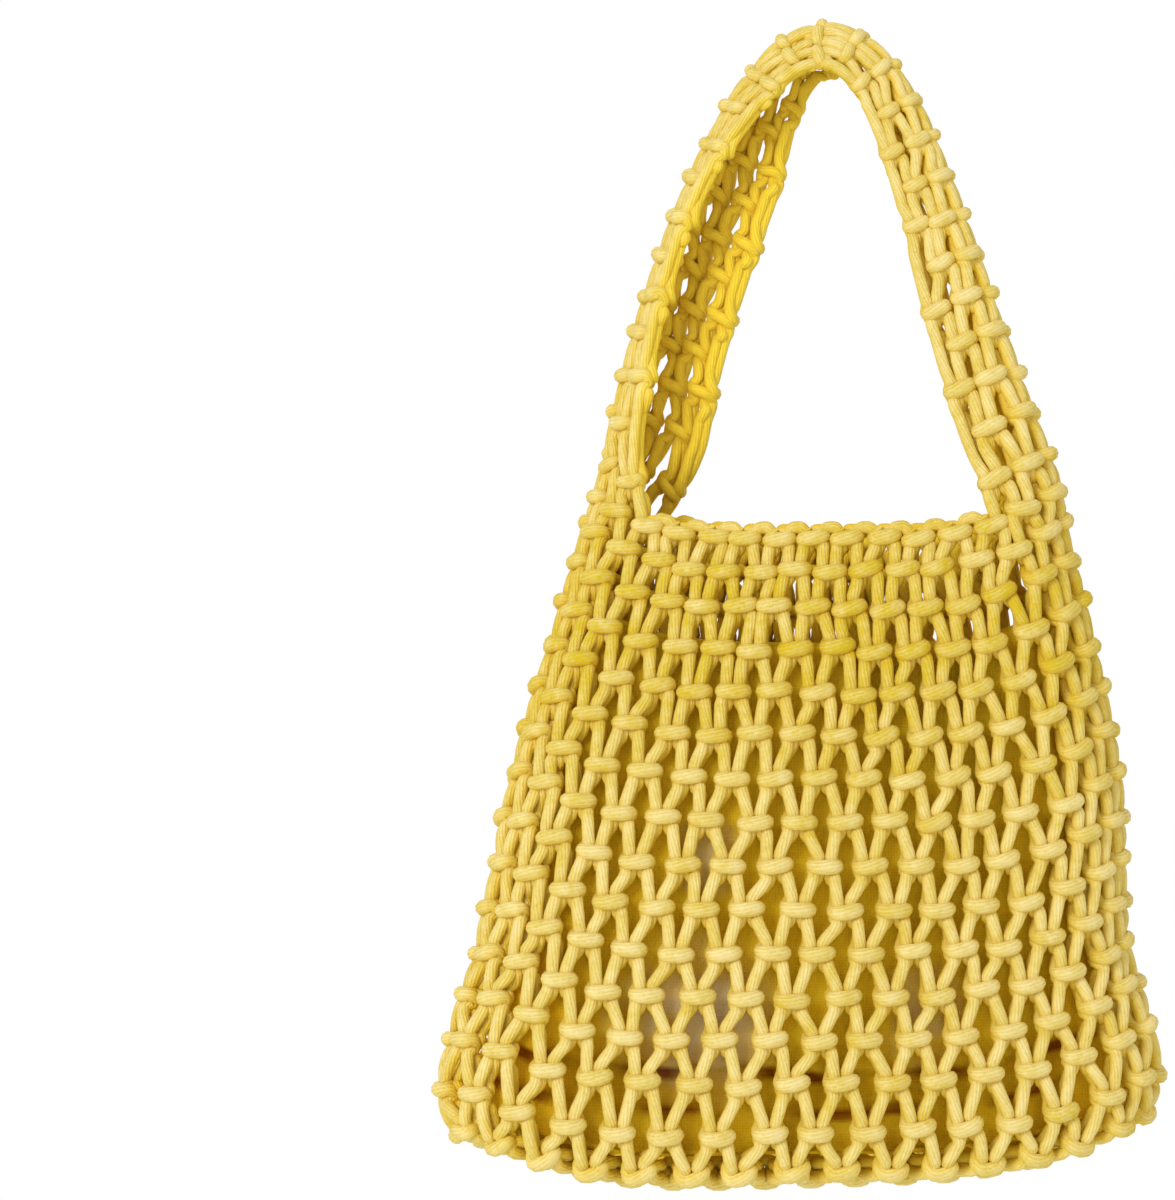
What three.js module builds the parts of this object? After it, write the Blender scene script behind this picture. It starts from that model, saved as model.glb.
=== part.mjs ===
// A hand-knotted cotton tote bag, hanging by its strap. Millimetres, +Z up, the front faces -Y.
// The origin is the middle of the strap's gripped stretch, at the top of the loop.
import * as THREE from 'three';

// Net counts: knots in one round, and the knots across the strap at each side.
const COLUMNS = 30;
const STRAP_COLUMNS = 6;
const LEFT_END = 2.5;
const FRONT_FIRST = 5.5;
const FRONT_LAST = 14.5;
const RIGHT_LAST = 20.5;
const BACK_LAST = 29.5;

// Body: the rim's height under the grip, the wall's rows and how the net hangs.
const RIM_Z = -158.6;
const SIDE_RISE = 16;
const SIDE_RISE_POWER = 2.5;
const SIDE_RISE_LOSS = 0.15;
const FRONT_BULGE = 5;
const BASE_TILT = 0.015;
const WALL_ROWS = 15;
const BASE_FIRST_ROW = 14.7;
const BASE_LAST_ROW = 16.7;

// One row for each measured round of knots, from the rim down and in under the base.
// drop is the depth under the rim, pitch the knot spacing at the middle of a face, drawn how far the
// oval's ends are drawn round to the front, twist the turn about Z in degrees and shift the sway in X.
const ROUNDS = [
  { row: -1, drop: -11, halfWidth: 73.5, halfDepth: 16, pitch: 11, drawn: 0, twist: -18, shift: 0 },
  { row: 0, drop: 0, halfWidth: 76, halfDepth: 17, pitch: 11.4, drawn: 0, twist: -18, shift: 0 },
  { row: 1.5, drop: 16, halfWidth: 79.5, halfDepth: 18.5, pitch: 12, drawn: 0, twist: -16, shift: -1 },
  { row: 3.5, drop: 43.5, halfWidth: 86.5, halfDepth: 21, pitch: 13.1, drawn: 2, twist: -12, shift: -1.5 },
  { row: 7.3, drop: 96.5, halfWidth: 99.5, halfDepth: 26, pitch: 15, drawn: 9, twist: -4, shift: -3.5 },
  { row: 11, drop: 149, halfWidth: 107, halfDepth: 30, pitch: 15.9, drawn: 14, twist: 0, shift: -7.5 },
  { row: 13, drop: 176.5, halfWidth: 115.5, halfDepth: 32, pitch: 16.1, drawn: 16, twist: 0, shift: -8 },
  { row: 14, drop: 192, halfWidth: 118, halfDepth: 32, pitch: 16.3, drawn: 16, twist: 0, shift: -8 },
  { row: 15, drop: 204.5, halfWidth: 115, halfDepth: 29, pitch: 16.4, drawn: 14, twist: 0, shift: -8 },
  { row: 16, drop: 207, halfWidth: 107, halfDepth: 16.5, pitch: 15, drawn: 8, twist: 0, shift: -8 },
  { row: 17, drop: 207, halfWidth: 101, halfDepth: 3, pitch: 14, drawn: 4, twist: 0, shift: -8 },
];

// Strap: one knotted band folded lengthwise, its fold outside, carried along an arch.
const STRAP_ROWS = 26;
const ARCH_HALF_SPAN = 76;
const ARCH_TOP = 12;
const ARCH_RISE = 154.6;
const ARCH_POWER = 2.1;
const ARCH_LEAN_LEFT = 2.5;
const ARCH_LEAN_RIGHT = 5;
const ARCH_SAMPLES = 600;
const CHANNEL_MIDDLE = 12;

// One row for each station along the strap, from its left foot over the top to its right foot.
// pitch is the knot spacing across, fold the radius at the fold, splay the arms' opening and
// roll the turn of the open side towards the front, both in degrees.
const STATIONS = [
  { row: 0, pitch: 11.4, fold: 17, splay: 0, roll: 0 },
  { row: 3, pitch: 10, fold: 10, splay: 18, roll: 36 },
  { row: 8, pitch: 9.7, fold: 8, splay: 22, roll: 44 },
  { row: 11, pitch: 7.6, fold: 7, splay: 24, roll: 16 },
  { row: 13, pitch: 6.7, fold: 6.5, splay: 22, roll: 0 },
  { row: 15, pitch: 6.4, fold: 6, splay: 16, roll: 0 },
  { row: 18, pitch: 7.2, fold: 6.5, splay: 6, roll: 0 },
  { row: 20.5, pitch: 8.3, fold: 7.5, splay: 4, roll: 0 },
  { row: 23, pitch: 9.2, fold: 9, splay: 4, roll: 0 },
  { row: 26, pitch: 11.4, fold: 17, splay: 0, roll: 0 },
];
const FOOT_ROWS = 4;

// Walls: the net's half thickness, the lining's faces inside it and the gaps that part the pieces.
const NET_HALF = 4;
const RIM_HALF = 3;
const LINING_OUTER = -7.6;
const LINING_INNER = -8.8;
const LINING_TOP_ROW = 2.8;
const LINING_BOTTOM_ROW = 15.2;
const FLOOR_SHARES = [0.3, 0.65, 0.94];
const FLOOR_END_SHARE = 0.5;
const GAP_COLUMNS = 0.04;
const GAP_ROWS = 0.05;
const RIM_INSET = 0.15;
const STRAP_INSET = 0.1;
const RIM_TOP_ROW = -0.6;
const RING_STEPS = 60;
const BASE_STEPS = 5;
const LINING_STEPS = 7;
const DIFFERENCE = 0.02;

const CORD_YELLOW = 0xe6c95e;
const LINING_BEIGE = 0xc9a85e;

// The value of one column of a table at a row, along a smooth curve through the table's rows.
function valueAt(table, key, row) {
  const last = table.length - 1;
  let k = 0;
  while (k < last - 1 && row > table[k + 1].row) {
    k += 1;
  }
  const slope = (i, j) => (table[j][key] - table[i][key]) / (table[j].row - table[i].row);
  const before = slope(Math.max(k - 1, 0), k + 1);
  const after = slope(k, Math.min(k + 2, last));
  const span = table[k + 1].row - table[k].row;
  const t = THREE.MathUtils.clamp((row - table[k].row) / span, 0, 1);
  const t2 = t * t;
  const t3 = t2 * t;
  return (
    (2 * t3 - 3 * t2 + 1) * table[k][key] +
    (t3 - 2 * t2 + t) * span * before +
    (3 * t2 - 2 * t3) * table[k + 1][key] +
    (t3 - t2) * span * after
  );
}

// How far a column's knots ride above the faces' middles, pulled up by the strap at both sides.
function sideRise(column) {
  const quarter = COLUMNS / 4;
  const half = 2 * quarter;
  const fromSide = (((column - LEFT_END) % half) + half) % half;
  const share = Math.pow(Math.abs(fromSide - quarter) / quarter, SIDE_RISE_POWER);
  return (SIDE_RISE * (1 - Math.cos(Math.PI * share))) / 2;
}

// A point of a round-ended oval, counted in knots from its left end along the front. The knots keep
// the pitch at the middle of a face and spread towards its two ends, drawn round to the front.
function ovalPoint(column, halfWidth, halfDepth, pitch, drawn) {
  const straight = 2 * (halfWidth - halfDepth);
  const cap = Math.PI * halfDepth;
  const half = COLUMNS / 2;
  const turns = (column - LEFT_END) / COLUMNS;
  const knots = (turns - Math.floor(turns)) * COLUMNS;
  const face = knots < half ? 0 : 1;
  const fromMiddle = knots - face * half - half / 2;
  const reach = (straight + cap) / 2;
  const widened = reach + drawn * (2 * face - 1) - (pitch * half) / 2;
  const spread = widened * Math.pow(fromMiddle / (half / 2), 3);
  let s = pitch * fromMiddle + spread + reach + face * 2 * reach;
  const centre = straight / 2;
  if (s < cap / 2) {
    return { x: -centre - halfDepth * Math.cos(s / halfDepth), y: -halfDepth * Math.sin(s / halfDepth) };
  }
  s -= cap / 2;
  if (s < straight) {
    const out = FRONT_BULGE * (1 - Math.pow((2 * s) / straight - 1, 2));
    return { x: s - centre, y: -halfDepth - out };
  }
  s -= straight;
  if (s < cap) {
    return { x: centre + halfDepth * Math.sin(s / halfDepth), y: -halfDepth * Math.cos(s / halfDepth) };
  }
  s -= cap;
  if (s < straight) {
    const out = FRONT_BULGE * (1 - Math.pow((2 * s) / straight - 1, 2));
    return { x: centre - s, y: halfDepth + out };
  }
  s -= straight;
  return { x: -centre - halfDepth * Math.sin(s / halfDepth), y: halfDepth * Math.cos(s / halfDepth) };
}

// The middle of the body's net at a column and a row.
function bodyPoint(column, row) {
  const halfWidth = valueAt(ROUNDS, 'halfWidth', row);
  const halfDepth = valueAt(ROUNDS, 'halfDepth', row);
  const pitch = valueAt(ROUNDS, 'pitch', row);
  const drawn = valueAt(ROUNDS, 'drawn', row);
  const oval = ovalPoint(column, halfWidth, halfDepth, pitch, drawn);
  const turn = THREE.MathUtils.degToRad(valueAt(ROUNDS, 'twist', row));
  const point = new THREE.Vector3(oval.x, oval.y, 0).applyAxisAngle(new THREE.Vector3(0, 0, 1), turn);
  point.x += valueAt(ROUNDS, 'shift', row);
  const low = Math.pow(THREE.MathUtils.clamp(row / WALL_ROWS, 0, 1), 2);
  const rise = sideRise(column) * (1 - SIDE_RISE_LOSS * low);
  point.z = RIM_Z - valueAt(ROUNDS, 'drop', row) + rise + BASE_TILT * low * point.x;
  return point;
}

// The arch of the strap's fold: equal steps of length, from the left foot to the right foot.
function archTable() {
  const table = [];
  let length = 0;
  for (let i = 0; i <= ARCH_SAMPLES; i += 1) {
    const share = (2 * i) / ARCH_SAMPLES - 1;
    const fallen = Math.pow(Math.abs(share), ARCH_POWER);
    const lean = share < 0 ? ARCH_LEAN_LEFT : ARCH_LEAN_RIGHT;
    const x = ARCH_HALF_SPAN * share - lean * Math.sin(Math.PI * fallen);
    const z = ARCH_TOP - ARCH_RISE * fallen;
    if (i > 0) {
      length += Math.hypot(x - table[i - 1].x, z - table[i - 1].z);
    }
    table.push({ x, z, length });
  }
  return table;
}

const ARCH = archTable();

// The fold's point and the direction into the loop, at a row along the strap.
function archAt(row) {
  const length = (ARCH[ARCH_SAMPLES].length * row) / STRAP_ROWS;
  let i = 1;
  while (i < ARCH_SAMPLES && ARCH[i].length < length) {
    i += 1;
  }
  const a = ARCH[i - 1];
  const b = ARCH[i];
  const t = (length - a.length) / (b.length - a.length);
  const along = new THREE.Vector3(b.x - a.x, 0, b.z - a.z).normalize();
  return {
    fold: new THREE.Vector3(a.x + t * (b.x - a.x), 0, a.z + t * (b.z - a.z)),
    inward: new THREE.Vector3(along.z, 0, -along.x),
  };
}

// The middle of the strap's net: column 0 is its back edge, row 0 its left foot. Near a foot its
// rows take the slope of the body's first row.
function strapPoint(column, row) {
  const { fold, inward } = archAt(row);
  const radius = valueAt(STATIONS, 'fold', row);
  const reach = (column - LEFT_END) * valueAt(STATIONS, 'pitch', row);
  const open = Math.PI / 2 - THREE.MathUtils.degToRad(valueAt(STATIONS, 'splay', row));
  const angle = Math.min(Math.abs(reach) / radius, open);
  const arm = Math.abs(reach) - radius * angle;
  const depth = radius * (1 - Math.cos(angle)) + arm * Math.sin(angle);
  const front = Math.sign(reach) * (radius * Math.sin(angle) + arm * Math.cos(angle));
  const roll = THREE.MathUtils.degToRad(valueAt(STATIONS, 'roll', row));
  const deep = depth - CHANNEL_MIDDLE;
  const inAmount = CHANNEL_MIDDLE + deep * Math.cos(roll) - front * Math.sin(roll);
  const frontAmount = deep * Math.sin(roll) + front * Math.cos(roll);
  const fromFoot = Math.min(row, STRAP_ROWS - row);
  const settle = 1 - THREE.MathUtils.smoothstep(fromFoot, 0, FOOT_ROWS);
  inward.z *= 1 - settle;
  const point = fold.addScaledVector(inward.normalize(), inAmount);
  point.y -= frontAmount;
  point.z += (sideRise(column) - SIDE_RISE) * settle;
  const turn = THREE.MathUtils.degToRad(valueAt(ROUNDS, 'twist', 0));
  return point.applyAxisAngle(new THREE.Vector3(0, 0, 1), turn);
}

// A point of a surface moved out along the surface's normal.
function offsetPoint(surface, side, column, row, offset) {
  const across = surface(column + DIFFERENCE, row).sub(surface(column - DIFFERENCE, row));
  const along = surface(column, row + DIFFERENCE).sub(surface(column, row - DIFFERENCE));
  const normal = across.cross(along).normalize();
  return surface(column, row).addScaledVector(normal, side * offset);
}

// A mesh from corner points and triangles, its faces turned to point outwards.
function solidMesh(name, points, triangles, color) {
  let volume = 0;
  for (const [a, b, c] of triangles) {
    volume += points[a].dot(points[b].clone().cross(points[c]));
  }
  const index = triangles.flatMap(([a, b, c]) => (volume > 0 ? [a, b, c] : [a, c, b]));
  const geometry = new THREE.BufferGeometry();
  const flat = points.flatMap((p) => [p.x, p.y, p.z]);
  geometry.setAttribute('position', new THREE.Float32BufferAttribute(flat, 3));
  geometry.setIndex(index);
  geometry.computeVertexNormals();
  const material = new THREE.MeshStandardMaterial({ color, roughness: 0.9, metalness: 0 });
  const mesh = new THREE.Mesh(geometry, material);
  mesh.name = name;
  return mesh;
}

// A curved slab of net between two columns and two rows, closed by walls at its four edges.
function slab(name, surface, side, columns, rows, half) {
  const points = [];
  for (const face of [half, -half]) {
    for (let j = 0; j <= rows.steps; j += 1) {
      for (let i = 0; i <= columns.steps; i += 1) {
        const column = THREE.MathUtils.lerp(columns.from, columns.to, i / columns.steps);
        const row = THREE.MathUtils.lerp(rows.from, rows.to, j / rows.steps);
        points.push(offsetPoint(surface, side, column, row, face));
      }
    }
  }
  const wide = columns.steps + 1;
  const inner = wide * (rows.steps + 1);
  const triangles = [];
  const quad = (a, b, c, d) => triangles.push([a, b, c], [a, c, d]);
  for (let j = 0; j < rows.steps; j += 1) {
    for (let i = 0; i < columns.steps; i += 1) {
      const a = j * wide + i;
      quad(a, a + 1, a + wide + 1, a + wide);
      quad(inner + a, inner + a + wide, inner + a + wide + 1, inner + a + 1);
    }
  }
  for (let i = 0; i < columns.steps; i += 1) {
    const low = rows.steps * wide + i;
    quad(i + 1, i, inner + i, inner + i + 1);
    quad(low, low + 1, inner + low + 1, inner + low);
  }
  for (let j = 0; j < rows.steps; j += 1) {
    const left = j * wide;
    const right = left + columns.steps;
    quad(left, left + wide, inner + left + wide, inner + left);
    quad(right + wide, right, inner + right, inner + right + wide);
  }
  return solidMesh(name, points, triangles, CORD_YELLOW);
}

// A closed dish from rounds of points: an outer and an inner skin, joined along the first round,
// each zipped shut from front to back along its last round.
function dish(name, outerRings, innerRings, color) {
  const points = [...outerRings, ...innerRings].flat();
  const count = outerRings.length;
  const triangles = [];
  const at = (ring, i) => ring * RING_STEPS + (i % RING_STEPS);
  const skin = (first, flip) => {
    const add = (a, b, c) => triangles.push(flip ? [a, c, b] : [a, b, c]);
    for (let k = first; k < first + count - 1; k += 1) {
      for (let i = 0; i < RING_STEPS; i += 1) {
        add(at(k, i), at(k, i + 1), at(k + 1, i + 1));
        add(at(k, i), at(k + 1, i + 1), at(k + 1, i));
      }
    }
    const end = first + count - 1;
    for (let i = 0; i < RING_STEPS / 2; i += 1) {
      const j = RING_STEPS - i;
      if (i > 0) {
        add(at(end, i), at(end, i + 1), at(end, j));
      }
      if (i + 1 < RING_STEPS / 2) {
        add(at(end, i + 1), at(end, j - 1), at(end, j));
      }
    }
  };
  skin(0, false);
  skin(count, true);
  for (let i = 0; i < RING_STEPS; i += 1) {
    triangles.push([at(0, i + 1), at(0, i), at(count, i)], [at(0, i + 1), at(count, i), at(count, i + 1)]);
  }
  return solidMesh(name, points, triangles, color);
}

// One round of the body's net, moved out by an offset, starting at the left end.
function bodyRing(row, offset) {
  return Array.from({ length: RING_STEPS }, (_, i) =>
    offsetPoint(bodyPoint, -1, LEFT_END + (COLUMNS * i) / RING_STEPS, row, offset),
  );
}

// The base: the net drawn in from the wall's last row to a seam along its middle.
function baseNet() {
  const first = BASE_FIRST_ROW + GAP_ROWS;
  const rows = Array.from({ length: BASE_STEPS + 1 }, (_, i) =>
    THREE.MathUtils.lerp(first, BASE_LAST_ROW, i / BASE_STEPS),
  );
  const outer = rows.map((row) => bodyRing(row, NET_HALF));
  const inner = rows.map((row) => bodyRing(row, -NET_HALF));
  return dish('base_net', outer, inner, CORD_YELLOW);
}

// The lining: a cloth pouch just inside the net, with a flat floor of its own.
function lining() {
  const skin = (offset, lift) => {
    const rings = [];
    for (let k = 0; k <= LINING_STEPS; k += 1) {
      rings.push(bodyRing(THREE.MathUtils.lerp(LINING_TOP_ROW, LINING_BOTTOM_ROW, k / LINING_STEPS), offset));
    }
    const edge = rings[LINING_STEPS].map((p) => p.clone().setZ(p.z + lift));
    rings[LINING_STEPS] = edge;
    const middle = valueAt(ROUNDS, 'shift', LINING_BOTTOM_ROW);
    const deep = valueAt(ROUNDS, 'halfDepth', LINING_BOTTOM_ROW) + offset;
    for (const share of FLOOR_SHARES) {
      rings.push(
        edge.map((p) => {
          const drawnIn = Math.min(Math.abs(p.x - middle), deep * share * FLOOR_END_SHARE);
          const x = p.x - Math.sign(p.x - middle) * drawnIn;
          return new THREE.Vector3(x, p.y * (1 - share), p.z);
        }),
      );
    }
    return rings;
  };
  const thickness = LINING_OUTER - LINING_INNER;
  return dish('lining', skin(LINING_OUTER, 0), skin(LINING_INNER, thickness), LINING_BEIGE);
}

const bag = new THREE.Group();
const wallRows = { from: GAP_ROWS, to: BASE_FIRST_ROW - GAP_ROWS, steps: 12 };
const rimRows = { from: RIM_TOP_ROW, to: -GAP_ROWS, steps: 1 };
const faceColumns = (from, to, steps) => ({ from: from + GAP_COLUMNS, to: to - GAP_COLUMNS, steps });
const leftFirst = FRONT_FIRST - STRAP_COLUMNS;
const frontRimColumns = faceColumns(FRONT_FIRST + RIM_INSET, FRONT_LAST - RIM_INSET, 9);
const backRimColumns = faceColumns(RIGHT_LAST + RIM_INSET, BACK_LAST - RIM_INSET, 9);
const strapColumns = faceColumns(leftFirst + STRAP_INSET, FRONT_FIRST - STRAP_INSET, 10);

bag.add(slab('front_net', bodyPoint, -1, faceColumns(FRONT_FIRST, FRONT_LAST, 9), wallRows, NET_HALF));
bag.add(slab('back_net', bodyPoint, -1, faceColumns(RIGHT_LAST, BACK_LAST, 9), wallRows, NET_HALF));
bag.add(slab('left_side_net', bodyPoint, -1, faceColumns(leftFirst, FRONT_FIRST, 12), wallRows, NET_HALF));
bag.add(slab('right_side_net', bodyPoint, -1, faceColumns(FRONT_LAST, RIGHT_LAST, 12), wallRows, NET_HALF));
bag.add(baseNet());
bag.add(slab('front_rim', bodyPoint, -1, frontRimColumns, rimRows, RIM_HALF));
bag.add(slab('back_rim', bodyPoint, -1, backRimColumns, rimRows, RIM_HALF));
const strapRows = { from: GAP_ROWS, to: STRAP_ROWS - GAP_ROWS, steps: 40 };
bag.add(slab('strap', strapPoint, 1, strapColumns, strapRows, NET_HALF));
bag.add(lining());

export default bag;
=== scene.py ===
import math

import bpy
import numpy as np
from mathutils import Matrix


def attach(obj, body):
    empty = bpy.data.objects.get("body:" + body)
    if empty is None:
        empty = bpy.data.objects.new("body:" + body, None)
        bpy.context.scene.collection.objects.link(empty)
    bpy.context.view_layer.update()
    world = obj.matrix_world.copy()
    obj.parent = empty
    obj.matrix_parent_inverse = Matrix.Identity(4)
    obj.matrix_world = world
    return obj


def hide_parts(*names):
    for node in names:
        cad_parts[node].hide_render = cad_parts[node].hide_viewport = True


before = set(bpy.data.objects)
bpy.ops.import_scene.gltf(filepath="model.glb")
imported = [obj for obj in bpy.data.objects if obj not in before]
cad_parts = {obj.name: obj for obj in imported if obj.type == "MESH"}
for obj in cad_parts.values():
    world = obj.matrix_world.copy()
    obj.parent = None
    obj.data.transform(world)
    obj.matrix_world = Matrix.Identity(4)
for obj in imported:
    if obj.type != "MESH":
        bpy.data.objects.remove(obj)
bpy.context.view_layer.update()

# Camera
# A long lens, level with the bag's upper body and a little to the left of its front, framing the bag
# in the right half of the picture. The grip at the frame's origin falls at GRIP_PX.
IMAGE_PX = (1175, 1200)
GRIP_PX = (825, 65)
METRES_PER_PX = 0.4 / 1200
CAMERA_DISTANCE = 1.3
CAMERA_AZIMUTH = math.radians(-5)
SENSOR_MM = 36

camera_data = bpy.data.cameras.new("photo_camera")
camera_data.sensor_width = SENSOR_MM
camera_data.lens = SENSOR_MM * CAMERA_DISTANCE / (METRES_PER_PX * max(IMAGE_PX))
camera = bpy.data.objects.new("photo_camera", camera_data)
bpy.context.scene.collection.objects.link(camera)
aside = (IMAGE_PX[0] / 2 - GRIP_PX[0]) * METRES_PER_PX
aloft = (GRIP_PX[1] - IMAGE_PX[1] / 2) * METRES_PER_PX
sine, cosine = math.sin(CAMERA_AZIMUTH), math.cos(CAMERA_AZIMUTH)
camera.location = (
    aside * cosine + CAMERA_DISTANCE * sine,
    aside * sine - CAMERA_DISTANCE * cosine,
    aloft,
)
camera.rotation_euler = (math.pi / 2, 0, CAMERA_AZIMUTH)
bpy.context.scene.camera = camera

# Body net: front, back and sides
# One round net of soft cotton cord in alternating half knots, worked from the rim down. Each knot
# ties four cords: two run straight through its middle, two wrap round them, one in front as a bar.
CORD = 0.0042
COLUMNS = 30
LEFT_END = 2.5
RIM_Z = -0.1586
SIDE_RISE = 0.016
SIDE_RISE_POWER = 2.5
SIDE_RISE_LOSS = 0.15
FACE_BULGE = 0.005
BASE_TILT = 0.015
WALL_ROWS = 15
# Each measured round: its knot row, drop under the rim, half width, half depth, pitch at the middle of a
# face, how far its ends are drawn round to the front, twist and sway.
ROUND_NAMES = ("row", "drop", "half_width", "half_depth", "pitch", "drawn", "twist", "sway")
ROUND_ROWS = [
    (-1, -0.011, 0.0735, 0.016, 0.011, 0, -18, 0),
    (0, 0, 0.076, 0.017, 0.0114, 0, -18, 0),
    (1.5, 0.016, 0.0795, 0.0185, 0.012, 0, -16, -0.001),
    (3.5, 0.0435, 0.0865, 0.021, 0.0131, 0.002, -12, -0.0015),
    (7.3, 0.0965, 0.0995, 0.026, 0.015, 0.009, -4, -0.0035),
    (11, 0.149, 0.107, 0.03, 0.0159, 0.014, 0, -0.0075),
    (13, 0.1765, 0.1155, 0.032, 0.0161, 0.016, 0, -0.008),
    (14, 0.192, 0.118, 0.032, 0.0163, 0.016, 0, -0.008),
    (15, 0.2045, 0.115, 0.029, 0.0164, 0.014, 0, -0.008),
    (16, 0.207, 0.107, 0.0165, 0.015, 0.008, 0, -0.008),
    (17, 0.207, 0.101, 0.003, 0.014, 0.004, 0, -0.008),
]
ROUNDS = dict(zip(ROUND_NAMES, np.array(ROUND_ROWS, float).T))


def curve_through(table, name, at):
    """One column of a table at the rows asked for: cubics through its rows, each row's slope that of the
    chord between its two neighbours."""
    rows, values = table["row"], table[name]
    last = len(rows) - 1
    k = np.searchsorted(rows[1:last], at, side="left")
    before, after = np.maximum(k - 1, 0), np.minimum(k + 2, last)
    span = rows[k + 1] - rows[k]
    slope_in = (values[k + 1] - values[before]) / (rows[k + 1] - rows[before])
    slope_out = (values[after] - values[k]) / (rows[after] - rows[k])
    t = np.clip((at - rows[k]) / span, 0, 1)
    return (
        (2 * t**3 - 3 * t**2 + 1) * values[k]
        + (t**3 - 2 * t**2 + t) * span * slope_in
        + (3 * t**2 - 2 * t**3) * values[k + 1]
        + (t**3 - t**2) * span * slope_out
    )


def side_rise(column):
    """Height of a knot over its row at the middle of a face: half a cosine wave of a power of the share of
    the way from there to the side, where the strap pulls the net up."""
    quarter = COLUMNS / 4
    share = np.abs((column - LEFT_END) % (2 * quarter) - quarter) / quarter
    return SIDE_RISE * (1 - np.cos(np.pi * share**SIDE_RISE_POWER)) / 2


def oval(column, half_width, half_depth, pitch, drawn):
    """A point of a round-ended oval with bowed faces, counted in knots from the left end along the front:
    quarter circle, bowed straight, half circle, bowed straight, quarter circle. The knots keep the pitch at
    the middle of a face and spread by a cubic towards its ends, which are drawn round to the front."""
    straight = 2 * (half_width - half_depth)
    cap = np.pi * half_depth
    centre = straight / 2
    quarter = COLUMNS / 4
    knots = (column - LEFT_END) % COLUMNS
    face = np.floor(knots / (2 * quarter))
    from_middle = knots - (2 * face + 1) * quarter
    reach = (straight + cap) / 2
    spread = (reach + drawn * (2 * face - 1) - pitch * quarter) * (from_middle / quarter) ** 3
    s = pitch * from_middle + spread + (2 * face + 1) * reach
    front = s - cap / 2
    right = front - straight
    back = right - cap
    left = back - straight
    bow_front = FACE_BULGE * (1 - (2 * front / straight - 1) ** 2)
    bow_back = FACE_BULGE * (1 - (2 * back / straight - 1) ** 2)
    stretches = [s < cap / 2, front < straight, right < cap, back < straight]
    x = np.select(
        stretches,
        [
            -centre - half_depth * np.cos(s / half_depth),
            front - centre,
            centre + half_depth * np.sin(right / half_depth),
            centre - back,
        ],
        -centre - half_depth * np.sin(left / half_depth),
    )
    y = np.select(
        stretches,
        [
            -half_depth * np.sin(s / half_depth),
            -half_depth - bow_front,
            -half_depth * np.cos(right / half_depth),
            half_depth + bow_back,
        ],
        half_depth * np.cos(left / half_depth),
    )
    return x, y


def body_surface(column, row):
    """The middle of the body's net: the oval of that round, turned and swayed, dropped under the rim, raised
    at the sides and tilted towards the base."""
    column, row = np.broadcast_arrays(column, row)
    shape = (curve_through(ROUNDS, name, row) for name in ("half_width", "half_depth", "pitch", "drawn"))
    x, y = oval(column, *shape)
    turn = np.radians(curve_through(ROUNDS, "twist", row))
    across = x * np.cos(turn) - y * np.sin(turn) + curve_through(ROUNDS, "sway", row)
    deep = x * np.sin(turn) + y * np.cos(turn)
    low = np.clip(row / WALL_ROWS, 0, 1) ** 2
    rise = side_rise(column) * (1 - SIDE_RISE_LOSS * low)
    up = RIM_Z - curve_through(ROUNDS, "drop", row) + rise + BASE_TILT * low * across
    return np.stack([across, deep, up], -1)


STRAP_ROWS = 26
ARCH_HALF_SPAN = 0.076
ARCH_TOP = 0.012
ARCH_RISE = 0.1546
ARCH_POWER = 2.1
ARCH_LEAN = (0.0025, 0.005)
CHANNEL_MIDDLE = 0.012
FOOT_ROWS = 4
RIGHT_MIRROR = 20
# Each station along the strap from its left foot: pitch across, fold radius, splay and roll.
STATION_NAMES = ("row", "pitch", "fold", "splay", "roll")
STATION_ROWS = [
    (0, 0.0125, 0.014, 9, 30),
    (3, 0.0124, 0.010, 18, 42),
    (8, 0.0118, 0.008, 22, 46),
    (11, 0.0087, 0.007, 24, 16),
    (13, 0.0077, 0.0065, 22, 0),
    (15, 0.0074, 0.006, 16, 0),
    (18, 0.0085, 0.0065, 6, 0),
    (20.5, 0.0100, 0.0075, 4, 0),
    (23, 0.0110, 0.009, 4, 0),
    (26, 0.0114, 0.017, 0, 0),
]
STATIONS = dict(zip(STATION_NAMES, np.array(STATION_ROWS, float).T))
ARCH_STEPS = 2000
arch_share = np.linspace(-1, 1, ARCH_STEPS + 1)
arch_fallen = np.abs(arch_share) ** ARCH_POWER
arch_lean = np.where(arch_share < 0, ARCH_LEAN[0], ARCH_LEAN[1]) * np.sin(np.pi * arch_fallen)
arch_x = ARCH_HALF_SPAN * arch_share - arch_lean
arch_z = ARCH_TOP - ARCH_RISE * arch_fallen
arch_length = np.concatenate([[0], np.cumsum(np.hypot(np.diff(arch_x), np.diff(arch_z)))])


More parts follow.
